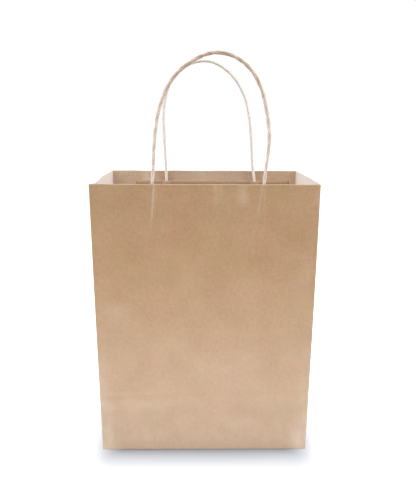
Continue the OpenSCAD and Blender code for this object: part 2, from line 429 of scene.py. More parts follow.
def material(key):
    """The finished material of that name, made once."""
    c = settings().colours
    makers = {
        "kraft_outside": lambda: paper_material(
            "kraft_paper_machine_finished", c.kraft, c.kraft_fibre, 0.55,
            (FIBRES, FLOCKS, TOOTH, SPECKS), foot=(0.25, c.foot_painted_sheen), olive=0.17,
        ),
        "kraft_inside": lambda: paper_material(
            "kraft_paper_rough_side", c.kraft_inside, c.inside_fibre, 0.75,
            (FIBRES, CLOUDS, TOOTH, FELT),
        ),
        # Painted light: pale at the rim, fading to the plain inside colour towards the foot
        "gusset_inside_painted_light": lambda: paper_material(
            "kraft_paper_inside_painted_light", c.gusset_inside_painted_light, c.kraft_inside, 0.6,
            (FIBRES, TOOTH), foot=(1.0, c.kraft_inside),
        ),
        "patch": lambda: paper_material(
            "kraft_patch_paper", c.patch, c.inside_fibre, 0.7, (FIBRES, TOOTH, FELT), rim=False
        ),
        "cut_edge": lambda: cut_edge_material("kraft_cut_edge", c.cut_edge),
        "front_cord": lambda: cord_material(
            "twisted_paper_cord_front", c.front_cord, c.front_shade
        ),
        "rear_cord": lambda: cord_material("twisted_paper_cord_rear_painted_pale", c.rear_cord, c.rear_shade),
    }
    if key not in MATERIALS:
        MATERIALS[key] = makers[key]()
    return MATERIALS[key]


# ---- shapes of the folded sheet --------------------------------------------


def smooth(value, low, high):
    """0 below low, 1 above high, and an even S between them."""
    t = np.clip((value - low) / (high - low), 0, 1)
    return t * t * (3 - 2 * t)


def bell(distance, width):
    """1 at distance 0, falling smoothly to nothing beyond width."""
    return 0.5 + 0.5 * np.cos(np.pi * np.clip(np.abs(distance) / width, 0, 1))


def groove(distance):
    """Depth of a pressed crease at that distance from its line."""
    s = settings().sheet
    return -s.crease_depth * np.exp(-((distance / s.crease_width) ** 2))


def mid_radius():
    """Radius of a corner at the middle of the paper's thickness."""
    return settings().sheet.corner_radius - PAPER_T / 2


def turned_edge():
    """Length by which a sheet runs on into its half of a rounded corner."""
    return mid_radius() * math.pi / 4


def sheet_edge(half):
    """Place across a panel's sheet where it has turned half way round its corner."""
    return half - settings().sheet.corner_radius + turned_edge()


def wall_foot():
    """Place up a wall where it has turned half way under the bag."""
    return settings().sheet.corner_radius - turned_edge()


def corner_curl(across, half):
    """Place across a panel, and inset from its plane, where it turns into its corners."""
    flat = half - settings().sheet.corner_radius
    angle = np.clip((np.abs(across) - flat) / mid_radius(), 0, math.pi / 4)
    place = np.minimum(np.abs(across), flat) + mid_radius() * np.sin(angle)
    return np.sign(across) * place, mid_radius() * (1 - np.cos(angle))


def foot_curl(up):
    """Height on a wall, and inset from its plane, where it turns under the bag."""
    radius = settings().sheet.corner_radius
    angle = np.clip((radius - up) / mid_radius(), 0, math.pi / 4)
    height = np.maximum(up, radius) - mid_radius() * np.sin(angle)
    return height, mid_radius() * (1 - np.cos(angle))


def corner_bow(up):
    """Outward bow of the upright corners."""
    return settings().sheet.edge_bow * np.sin(np.pi * np.clip(up / BAG_H, 0, 1))


def rim_cut(across, up):
    """Uneven height of the cut along the rim."""
    waves = np.sin(across / 9.0) + 0.6 * np.sin(across / 3.7 + 1.0)
    return settings().sheet.rim_wave * waves / 1.6 * smooth(up, BAG_H - 12, BAG_H)


# Upright wrinkles below the front's rim: place across, height and half width
WRINKLES = ((14, 0.16, 4.0), (35, -0.14, 5.0), (-76, 0.1, 9.0), (80, 0.12, 8.0))


def front_push(across, up):
    """How far the front panel stands out of its plane."""
    s = settings().sheet
    inner = np.clip(1 - (across / HALF_W) ** 2, 0, 1)
    push = -s.front_dish * inner * np.sin(np.pi * np.clip(up / BAG_H, 0, 1))
    # Level crease across the front, pressed when the bag was made and eased since
    push = push + s.foot_kink * inner * np.exp(-np.abs(up - FOLD_Z) / KINK_REACH)
    push = push + groove(up - FOLD_Z) * CREASE_KEPT
    # The paper lifts over the two glued cord ends, which lean a little outwards
    shown = smooth(up, CORD_FOOT - 7, CORD_FOOT + 9)
    left = across - end_place(FRONT_ENDS[0], up)
    right = across - end_place(FRONT_ENDS[1], up) + 2
    push = push + s.ridge_height * shown * bell(left, s.ridge_width)
    plateau = smooth(right, -4.4, -2.2) - smooth(right, 2.4, 5.2)
    push = push + 0.8 * s.ridge_height * shown * plateau
    near_rim = smooth(up, BAG_H - 26, BAG_H - 4)
    for place, height, width in WRINKLES:
        push = push + height * near_rim * bell(across - place, width)
    return push


def back_push(across, up):
    """How far the back panel stands out of its plane; across runs from +X to -X."""
    s = settings().sheet
    inner = np.clip(1 - (across / HALF_W) ** 2, 0, 1)
    push = -0.5 * s.front_dish * inner * np.sin(np.pi * np.clip(up / BAG_H, 0, 1))
    shown = smooth(up, CORD_FOOT - 7, CORD_FOOT + 9)
    for end in REAR_ENDS:
        leg = end_place(end, up)
        push = push + 0.8 * s.ridge_height * shown * bell(across + leg, s.ridge_width)
    return push


def side_push(side, depth, up):
    """How far a side stands out of its plane, at that place from front to back."""
    s = settings().sheet
    near_rim = np.exp(-(BAG_H - up) / RIM_REACH)
    back_of_front = np.clip(depth + HALF_D, 0, 2 * HALF_D)
    if side < 0:
        # Behind its front crease the left gusset still tucks in as it was stored
        start = 1 - np.exp(-((back_of_front / 3.5) ** 2))
        way = np.clip(1 - back_of_front / (HALF_D - GUSSET_SPLIT - 0.5), 0, 1)
        push = -s.left_tuck * start * way**0.7 * near_rim
    else:
        push = s.right_belly * np.sin(np.pi * back_of_front / (2 * HALF_D)) * near_rim
    # The crease down the middle leans inwards a little, less so at the foot
    lean = 0.5 * smooth(up, 0, FOLD_Z) * (1 - near_rim)
    push = push - lean * np.clip(1 - np.abs(depth) / HALF_D, 0, 1)
    middle = groove(depth) * smooth(up, FOLD_Z - 1, FOLD_Z + 1)
    diagonal = groove((np.abs(depth) + up - FOLD_Z) / math.sqrt(2))
    level = groove(up - FOLD_Z) * (depth < 0)
    return push + np.minimum(np.minimum(middle, diagonal), level)


# ---- painted light, painted shade and wear, as shares of paler and darker paper - ---


def cord_line(across, down, start, lean, lean_end, step, step_start, step_end):
    """Distance from a line rubbed over a cord end, which leans and then steps outwards."""
    leaning = lean * np.clip(down / lean_end, 0, 1)
    return across - start + leaning + step * smooth(down, step_start, step_end)


def streaks(away, marks):
    """Sum of upright marks, as (distance, half width, start and end of fading, share)."""
    return sum(
        share * bell(distance, width) * (1 - smooth(away, start, end))
        for distance, width, start, end, share in marks
    )


def spots(across, up, marks):
    """Sum of soft round marks, as (place across, place up, half width, half height, share)."""
    return sum(
        share * bell(across - x, wide) * bell(up - z, high) for x, z, wide, high, share in marks
    )


def no_wear(across, up):
    """The shares where there is no wear."""
    return 0 * across, 0 * across


def front_light_and_wear(across, up):
    """The shares on the front."""
    down = BAG_H - up
    left = cord_line(across, down, -44.5, 3.5, 41, 3, 40, 47)
    right = cord_line(across, down, 50.5, 4.5, 36, 2.5, 36, 50)
    beside_corner = np.abs(across) - HALF_W
    # Painted highlights: fine pale lines along the ridges over the cord ends
    paler_share = 0.2 * bell(left, 1.5) * (1 - 0.7 * smooth(down, 24, 40)) * (1 - smooth(down, 42, 50))
    paler_share = paler_share + streaks(down, (
        (left - 1, 4.5, 16, 40, 0.04), (right, 1.6, 34, 52, 0.09),
        (across - 53 + down / 30, 1.5, 14, 30, 0.05),
    ))
    # Wrinkles under the rim, which run down and a little to the right
    leant = across - down / 20
    paler_share = paler_share + streaks(down, (
        (leant - 9, 4.0, 12, 24, 0.12), (leant - 14, 3.0, 7, 14, 0.08),
        (leant - 33, 8.0, 12, 24, 0.1), (leant - 100, 5.0, 11, 22, 0.1),
    ))
    # A paler band along the level crease, most at the left
    band = up - FOLD_Z - 0.03 * across
    at_left = smooth(-across, -20, 90)
    paler_share = paler_share + (0.03 + 0.05 * at_left) * bell(band + 8, 11) + 0.05 * at_left * bell(band - 3.5, 3)
    paler_share = paler_share + spots(across, up, (
        (-88, 145, 26, 18, 0.06), (30, 160, 30, 12, 0.03), (92, 175, 14, 45, 0.06),
        (20, 90, 50, 30, 0.03),
    ))
    # Painted light: paler towards the foot, most at its two corners
    paler_share = paler_share + 0.08 * (1 - smooth(up, 10, 60))
    paler_share = paler_share + streaks(up, (
        (beside_corner, 16, 40, 150, 0.12), (beside_corner + 6, 16, 4, 32, 0.2),
    ))
    # Painted shade beside the ridges over the cord ends, in the level crease and along the foot,
    # with some darker mottling
    darker_share = streaks(down, (
        (across - 58, 7, 18, 40, 0.1), (left - 4.5, 3.5, 30, 46, 0.06),
        (across + 30, 18, 40, 100, 0.06),
    ))
    darker_share = darker_share + spots(across, up, [(8, 137, 12, 10, 0.08)])
    darker_share = darker_share + 0.03 * bell(band, 2.5) + 0.08 * (1 - smooth(up, 0, 14))
    return np.clip(paler_share, 0, 1), np.clip(darker_share, 0, 1)


def back_outside_light_and_wear(across, up):
    """The shares on the outside of the back: painted light at its corners and painted highlights
    over the cord ends, as on the front, and some paler and darker patches.
    """
    paler_share = streaks(up, [(np.abs(across) - HALF_W, 14, 30, 140, 0.1)])
    for end in REAR_ENDS:
        line = across + end_place(end, up)
        paler_share = paler_share + 0.16 * bell(line, 1.7) * smooth(up, CORD_FOOT - 8, CORD_FOOT + 4)
    paler_share = paler_share + spots(across, up, ((60, 90, 26, 15, 0.1), (-50, 150, 20, 20, 0.07)))
    return paler_share, spots(across, up, [(-20, 120, 26, 18, 0.08)])


def back_inside_shade_and_tone(across, up):
    """The shares on the inside of the back: painted shade in its right corner and beside its cords,
    and paler patches near the rim.
    """
    x = -across
    darker_share = 0.14 * smooth(x, 93.5, 96) * (1 - smooth(x, 99.5, 101))
    for place, width, share in (
        (-45, 6.5, 0.22), (-38, 4, 0.1), (46, 5, 0.18), (58, 7, 0.17), (80, 16, 0.18)
    ):
        darker_share = darker_share + share * bell(x - place, width)
    paler_share = 0.25 * bell(x + 62, 12) + 0.14 * bell(x - 2, 30)
    return paler_share * smooth(up, 190, 240), darker_share * smooth(up, 150, 230)


# ---- places on the folded sheet --------------------------------------------


def front_place(across, up):
    """Middle of the front sheet's thickness."""
    x, corner = corner_curl(across, HALF_W)
    z, foot = foot_curl(up)
    y = -(HALF_D - PAPER_T / 2) + corner + foot - front_push(across, up)
    x = x + np.sign(across) * corner_bow(up) * smooth(np.abs(across), HALF_W * 0.3, HALF_W)
    return np.stack([x, y, z + rim_cut(across, up)], 1)


def back_place(across, up):
    """Middle of the back sheet's thickness; across runs from +X to -X."""
    x, corner = corner_curl(-across, HALF_W)
    z, foot = foot_curl(up)
    y = (HALF_D - PAPER_T / 2) - corner - foot + back_push(across, up)
    x = x - np.sign(across) * corner_bow(up) * smooth(np.abs(across), HALF_W * 0.3, HALF_W)
    return np.stack([x, y, z + rim_cut(across + 40, up)], 1)


def side_place(side):
    """The function that gives the middle of a side sheet; across is side times depth."""

    def place(across, up):
        depth, corner = corner_curl(across * side, HALF_D)
        z, foot = foot_curl(up)
        out = HALF_W - PAPER_T / 2 - corner - foot + side_push(side, depth, up) + corner_bow(up)
        return np.stack([side * out, depth, z + rim_cut(across + 90 * side, up)], 1)

    return place


# ---- mesh code -------------------------------------------------------------


def grid_lines(low, high, fine=()):
    """Places of a grid's lines; fine holds (place, half width, step) of closer stretches."""
    step = settings().sheet.mesh_step
    lines = list(np.linspace(low, high, max(2, math.ceil((high - low) / step) + 1)))
    for place, half, close in fine:
        start, end = max(low, place - half), min(high, place + half)
        if start < end:
            lines = [x for x in lines if not start < x < end]
            lines += list(np.linspace(start, end, max(2, round((end - start) / close) + 1)))
    kept, closest = [], 0.02
    for x in sorted(lines):
        if not kept or x - kept[-1] > closest:
            kept.append(float(x))
    kept[-1] = high
    return kept


def cut_grid(outline, across_lines, up_lines):
    """Points and faces of a flat grid, cut along a convex outline that runs left about."""
    mesh = bmesh.new()
    rows = [[mesh.verts.new((u, v, 0)) for u in across_lines] for v in up_lines]
    for lower, upper in zip(rows, rows[1:]):
        for i in range(len(lower) - 1):
            mesh.faces.new((lower[i], lower[i + 1], upper[i + 1], upper[i]))
    for start, end in zip(outline, outline[1:] + outline[:1]):
        run = Vector(end) - Vector(start)
        bmesh.ops.bisect_plane(
            mesh, geom=mesh.verts[:] + mesh.edges[:] + mesh.faces[:], dist=1e-4,
            plane_co=(*start, 0), plane_no=(run.y, -run.x, 0), clear_outer=True,
        )
    mesh.verts.index_update()
    points = [(v.co.x, v.co.y) for v in mesh.verts]
    faces = [[v.index for v in f.verts] for f in mesh.faces]
    mesh.free()
    return points, faces


def join_flat(parts):
    """One flat mesh from several that share edges; points 0.005 mm apart become one."""
    per_mm = 200
    index, points, faces = {}, [], []
    for part_points, part_faces in parts:
        renamed = []
        for u, v in part_points:
            key = (round(u * per_mm), round(v * per_mm))
            if key not in index:
                index[key] = len(points)
                points.append((u, v))
            renamed.append(index[key])
        for face in part_faces:
            turned = [renamed[i] for i in face]
            turned = [a for a, b in zip(turned, turned[1:] + turned[:1]) if a != b]
            if len(turned) > 2:
                faces.append(turned)
    return np.array(points), faces


def free_edges(faces):
    """Edges with a face on one side only, in that face's direction."""
    seen = dict.fromkeys(
        (a, b) for face in faces for a, b in zip(face, face[1:] + face[:1])
    )
    return [(a, b) for a, b in seen if (b, a) not in seen]


def flat_sheet(outline, across_lines, up_lines):
    """The flat mesh of a sheet with one convex outline."""
    return join_flat([cut_grid(outline, across_lines, up_lines)])


def paper_sheet(name, nodes, flat, place, outside, inside, light_and_wear=(no_wear, no_wear)):
    """A sheet of paper that stands for those nodes: two faces on either side of place,
    joined round the cut edges."""
    points, faces = flat
    across, up = points[:, 0], points[:, 1]
    reach = 0.02
    middle = place(across, up)
    along_across = place(across + reach, up) - place(across - reach, up)
    along_up = place(across, up + reach) - place(across, up - reach)
    normal = np.cross(along_across, along_up)
    normal /= np.linalg.norm(normal, axis=1)[:, None]
    both = np.vstack([middle + normal * PAPER_T / 2, middle - normal * PAPER_T / 2])
    count = len(points)
    under = [[i + count for i in reversed(f)] for f in faces]
    rim = [[b, a, a + count, b + count] for a, b in free_edges(faces)]
    mesh = bpy.data.meshes.new(name)
    mesh.from_pydata((both * MM).tolist(), [], [*faces, *under, *rim])
    kinds = [0] * len(faces) + [1] * len(faces) + [2] * len(rim)
    mesh.polygons.foreach_set("material_index", kinds)
    mesh.polygons.foreach_set("use_smooth", [kind < 2 for kind in kinds])
    uv = mesh.uv_layers.new(name="sheet")
    corner = np.zeros(len(mesh.loops), np.int32)
    mesh.loops.foreach_get("vertex_index", corner)
    uv.data.foreach_set("uv", (points[corner % count] * MM).astype(np.float32).ravel())
    # Paler and darker shares: mostly painted light and painted shade, with some wear and mottling
    marks = np.hstack([side(across, up) for side in light_and_wear]).astype(np.float32)
    for mark, shares in zip(("paler_light_and_wear", "darker_shade_and_mottle"), marks):
        mesh.attributes.new(mark, "FLOAT", "POINT").data.foreach_set("value", shares)
    for key in (outside, inside, "cut_edge"):
        mesh.materials.append(material(key))
    mesh.update()
    return dressed(name, mesh, nodes)


def rectangle(left, right, low, high):
    """Outline of a rectangle, left about."""
    return [(left, low), (right, low), (right, high), (left, high)]


def dressed(name, mesh, nodes):
    """A piece with that mesh, linked into the scene; the CAD nodes that it stands for are hidden.
    """
    piece = bpy.data.objects.new(name, mesh)
    bpy.context.scene.collection.objects.link(piece)
    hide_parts(*nodes)
    return piece



# ---- camera ----------------------------------------------------------------

CAMERA_PLACE = (-1.92, -498.57, 320.43)
CAMERA_DOWN, CAMERA_YAW, CAMERA_ROLL = 14.545, -0.629, 0.236  # degrees
SENSOR_WIDTH = 36
# The camera's focal length is a little more than the long side of its picture
FOCAL_SHARE = 502.13 / 500


class GIFTBAG_OT_camera(bpy.types.Operator):
    """Sets up the camera in front of the bag, a little above its rim"""

    bl_idname = "giftbag.camera"
    bl_label = "Camera"

    def execute(self, context):
        pitch, yaw, roll = (math.radians(a) for a in (CAMERA_DOWN, CAMERA_YAW, CAMERA_ROLL))
        ahead = Vector((
            -math.sin(yaw) * math.cos(pitch), math.cos(yaw) * math.cos(pitch), -math.sin(pitch)
        ))
        level = Vector((math.cos(yaw), math.sin(yaw), 0))
        above = level.cross(ahead)
        right = level * math.cos(roll) + above * math.sin(roll)
        up = above * math.cos(roll) - level * math.sin(roll)
        turn = Matrix((right, up, -ahead)).transposed()
        data = bpy.data.cameras.new("camera")
        data.sensor_width = SENSOR_WIDTH
        data.lens = FOCAL_SHARE * SENSOR_WIDTH
        camera = bpy.data.objects.new("camera", data)
        camera.matrix_world = Matrix.LocRotScale(Vector(CAMERA_PLACE) * MM, turn, None)
        context.scene.collection.objects.link(camera)
        context.scene.camera = camera
        return {"FINISHED"}


# ---- sheets of the bag -----------------------------------------------------

# Half width and step of the closer mesh lines where a sheet turns a corner, and at the rim
AT_CORNER = (0.9, 0.15)
AT_RIM = (2, 0.5)
# Length in which the rear bottom flap steps up on to the front one
STEP_LENGTH = 4


class GIFTBAG_OT_front_sheet(bpy.types.Operator):
    """Builds the front of the bag, one sheet that bends at its level crease"""

    bl_idname = "giftbag.front_sheet"
    bl_label = "Front sheet"

    def execute(self, context):
        edge, foot = sheet_edge(HALF_W), wall_foot()
        across = grid_lines(-edge, edge, [
            (FRONT_ENDS[0][1], 7, 0.6), (FRONT_ENDS[1][1] - 2, 9, 0.6),
            (12, 6, 0.8), (35, 5, 0.8), (-edge, *AT_CORNER), (edge, *AT_CORNER),
        ])
        up = grid_lines(foot, BAG_H, [
            (FOLD_Z - 4, 8, 0.8), (FOLD_Z, 2.2, 0.2), (foot, *AT_CORNER), (BAG_H, *AT_RIM),
        ])
        piece = paper_sheet(
            "front_sheet", ("front_panel", "front_foot_strip"),
            flat_sheet(rectangle(-edge, edge, foot, BAG_H), across, up),
            front_place, "kraft_outside", "kraft_inside", (front_light_and_wear, no_wear),
        )
        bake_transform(piece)
        return {"FINISHED"}


class GIFTBAG_OT_back_sheet(bpy.types.Operator):
    """Builds the back of the bag"""

    bl_idname = "giftbag.back_sheet"
    bl_label = "Back sheet"

    def execute(self, context):
        edge, foot = sheet_edge(HALF_W), wall_foot()
        across = grid_lines(-edge, edge, [
            (-REAR_ENDS[0][1], 5, 0.7), (-REAR_ENDS[1][1], 6, 0.7), (-97, 4.2, 0.5),
            (-edge, *AT_CORNER), (edge, *AT_CORNER),
        ])
        up = grid_lines(foot, BAG_H, [(foot, *AT_CORNER), (BAG_H, *AT_RIM)])
        piece = paper_sheet(
            "back_sheet", ["back_panel"],
            flat_sheet(rectangle(-edge, edge, foot, BAG_H), across, up),
            back_place, "kraft_outside", "kraft_inside", (back_outside_light_and_wear, back_inside_shade_and_tone),
        )
        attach(piece, "back")
        return {"FINISHED"}


def side_flat(side, outlines):
    """Flat mesh of a piece of a side, from convex outlines given as (depth, height)."""
    edge = sheet_edge(HALF_D)
    parts = []
    for outline in outlines:
        # From outside, across runs to the rear on the right side and to the front on the left
        turned = [(side * depth, height) for depth, height in outline][::side]
        depths, heights = zip(*turned)
        across = grid_lines(min(depths), max(depths), [
            (0, 1.8, 0.25), (-edge, 6, 0.5), (edge, 6, 0.5),
            (-edge, *AT_CORNER), (edge, *AT_CORNER),
        ])
        up = grid_lines(min(heights), max(heights), [
            (FOLD_Z, 1.8, 0.3), (wall_foot(), *AT_CORNER), (BAG_H, *AT_RIM),
        ])
        parts.append(cut_grid(turned, across, up))
    return join_flat(parts)


class GIFTBAG_OT_side_gussets(bpy.types.Operator):
    """Builds the two gussets, each one sheet that folds at its middle crease"""

    bl_idname = "giftbag.side_gussets"
    bl_label = "Side gussets"

    def execute(self, context):
        edge, split = sheet_edge(HALF_D), -GUSSET_SPLIT
        rear = [(0, FOLD_Z), (edge, FOLD_Z - edge), (edge, BAG_H), (0, BAG_H)]
        # The strip over the crease bends with it, and the front half starts in front of it
        crease = rectangle(split, 0, FOLD_Z, BAG_H)
        front = rectangle(-edge, split, FOLD_Z, BAG_H)
        for name, side in SIDES:
            for half, outlines in (("_rear_gusset", [rear, crease]), ("_front_gusset", [front])):
                piece = paper_sheet(
                    name + half + "_sheet", [name + half], side_flat(side, outlines),
                    side_place(side), "kraft_outside", "gusset_inside_painted_light",
                )
                if half == "_rear_gusset":
                    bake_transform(piece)
                else:
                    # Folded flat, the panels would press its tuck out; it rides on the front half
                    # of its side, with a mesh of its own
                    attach(piece, name + "_front_side")
                    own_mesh(piece)
        return {"FINISHED"}


class GIFTBAG_OT_foot_sheets(bpy.types.Operator):
    """Builds the folded foot of each side: the triangle and the corner in front of it"""

    bl_idname = "giftbag.foot_sheets"
    bl_label = "Foot of the sides"

    def execute(self, context):
        edge, low = sheet_edge(HALF_D), wall_foot()
        shoulder = FOLD_Z - edge
        shapes = (
            ("_foot_triangle", "_foot",
             [(-edge, low), (edge, low), (edge, shoulder), (0, FOLD_Z), (-edge, shoulder)]),
            ("_front_corner", "_corner", [(-edge, shoulder), (0, FOLD_Z), (-edge, FOLD_Z)]),
        )
        for name, side in SIDES:
            for shape, body, outline in shapes:
                piece = paper_sheet(
                    name + shape + "_sheet", [name + shape], side_flat(side, [outline]),
                    side_place(side), "kraft_outside", "kraft_inside",
                )
                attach(piece, name + body)
        return {"FINISHED"}


class GIFTBAG_OT_side_seam(bpy.types.Operator):
    """Builds the glued flap of the side seam, inside the right front corner"""

    bl_idname = "giftbag.side_seam"
    bl_label = "Side seam flap"

    def execute(self, context):
        wall = side_place(1)
        glue, short = 0.02, 0.3
        front, rear, low, high = SEAM_LOW[1], SEAM_HIGH[1], SEAM_LOW[2], SEAM_HIGH[2] - short

        def place(across, up):
            return wall(across, up) - np.array([PAPER_T + glue, 0, 0])

        flat = flat_sheet(
            rectangle(front, rear, low, high), grid_lines(front, rear), grid_lines(low, high)
        )
        piece = paper_sheet(
            "side_seam_sheet", ["side_seam_flap"], flat, place, "kraft_inside", "kraft_inside"
        )
        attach(piece, "right_front_side")
        return {"FINISHED"}


class GIFTBAG_OT_bottom_sheets(bpy.types.Operator):
    """Builds the block bottom: two glued flaps and the side folds that lie on them"""

    bl_idname = "giftbag.bottom_sheets"
    bl_label = "Block bottom"

    def execute(self, context):
        # All four are seen from below, so that across runs from +X to -X
        edge, half = sheet_edge(HALF_D), sheet_edge(HALF_W)
        slope = edge + FLAP_EDGE

        def flap_place(facing):
            """Its creased edge curls up to meet the wall, and the rear flap steps up
            on to the front flap where they are glued."""
            step = PAPER_T if facing > 0 else 0

            def place(across, up):
                y, curl = corner_curl(up, HALF_D)
                curled = np.where(up * facing > 0, curl, 0)
                lift = step * (1 - smooth(y, FLAP_EDGE, FLAP_EDGE + STEP_LENGTH))
                return np.stack([-across, y, PAPER_T / 2 + curled + lift], 1)

            return place

        for name, facing in (("front", -1), ("rear", 1)):
            near, far = facing * edge, -facing * FLAP_EDGE
            outline = [(-half, near), (half, near), (half - slope, far), (-half + slope, far)]
            up = grid_lines(*sorted((near, far)), [(near, *AT_CORNER), (FLAP_EDGE + 2, 3, 0.5)])
            piece = paper_sheet(
                "bottom_" + name + "_sheet", ["bottom_" + name + "_flap"],
                flat_sheet(outline[::-facing], grid_lines(-half, half), up),
                flap_place(facing), "kraft_outside", "kraft_inside",
            )
            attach(piece, "bottom")
        for node in ("bottom_left_fold", "bottom_right_fold"):
            low, high = node_box(node)

            def fold_place(across, up, middle=(low[2] + high[2]) / 2):
                return np.stack([-across, up, middle + 0 * up], 1)

            flat = flat_sheet(
                rectangle(-high[0], -low[0], low[1], high[1]),
                grid_lines(-high[0], -low[0]), grid_lines(low[1], high[1]),
            )
            piece = paper_sheet(
                node + "_sheet", [node], flat, fold_place, "kraft_inside", "kraft_inside"
            )
            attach(piece, "bottom")
        return {"FINISHED"}


# ---- handle patches --------------------------------------------------------

# How far the inner ply stands off over a cord end, and between which distances it comes down
HUMP, HUMP_TOP, HUMP_FOOT = 3.35, 1.0, 5.2
# The ply over the cords was laid by hand, this much out of square
ASKEW = 0.6


class GIFTBAG_OT_handle_patches(bpy.types.Operator):
    """Builds the two-ply patches that hold the cord ends inside the rim"""

    bl_idname = "giftbag.handle_patches"
    bl_label = "Handle patches"

    def execute(self, context):
        for name, facing, wall, (low, high), ends, body in (
            ("front", -1, front_place, FRONT_PATCH, FRONT_ENDS, "front"),
            ("rear", 1, back_place, REAR_PATCH, REAR_ENDS, "back"),
        ):
            left, right = sorted((-facing * low[0], -facing * high[0]))
            fine = [(-facing * end[1], 9, 0.4) for end in ends]

            def ply_place(inset, humps, wall=wall, facing=facing):
                def place(across, up):
                    stand = inset + 0 * across
                    for end in humps:
                        beside = np.abs(across + facing * end_place(end, up))
                        stand = stand + HUMP * (1 - smooth(beside, HUMP_TOP, HUMP_FOOT))
                    return wall(across, up) - np.stack([0 * up, facing * stand, 0 * up], 1)

                return place

            for ply, inset, humps, shift in (
                ("outer", PAPER_T, (), 0.0), ("inner", 2 * PAPER_T, ends, ASKEW)
            ):
                outline = [
                    (left + shift, low[2]), (right + shift, low[2] + shift),
                    (right - shift, high[2]), (left + shift, high[2] - shift),
                ]
                flat = flat_sheet(
                    outline, grid_lines(left, right + shift, fine),
                    grid_lines(low[2], high[2] + 0.1),
                )
                part = name + "_patch_" + ply
                piece = paper_sheet(
                    part + "_sheet", [part + "_ply"], flat, ply_place(inset, humps),
                    "patch", "patch",
                )
                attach(piece, body)
        return {"FINISHED"}


# ---- handles ---------------------------------------------------------------


def smooth_route(route, ends, facing):
    """Points along a cord's centre line, from one glued end over the loop to the other."""
    drops = np.linspace(CORD_FOOT - BAG_H, 0, 12)
    points = [(float(end_place(ends[0], BAG_H + z)), z) for z in drops]
    points += list(route)
    points += [(float(end_place(ends[1], BAG_H + z)), z) for z in drops[::-1]]
    points = np.array(points, float)
    dense = []
    for i in range(len(points) - 1):
        a, b, c, d = (points[min(max(k, 0), len(points) - 1)] for k in range(i - 1, i + 3))
        for t in np.linspace(0, 1, 6, endpoint=False):
            dense.append(0.5 * (
                2 * b + (c - a) * t + (2 * a - 5 * b + 4 * c - d) * t * t
                + (3 * b - a - 3 * c + d) * t**3
            ))
    dense.append(points[-1])
    dense = np.array(dense)
    # A hand-bent cord is never quite even: 0.35 mm to and fro over the rim
    over = smooth(dense[:, 1], 4, 30)
    run = np.arange(len(dense)) / len(dense)
    sway = 0.35 * over * (np.sin(run * 19 + facing) + 0.5 * np.sin(run * 43))
    return np.stack([dense[:, 0], facing * CORD_Y + sway, BAG_H + dense[:, 1]], 1)


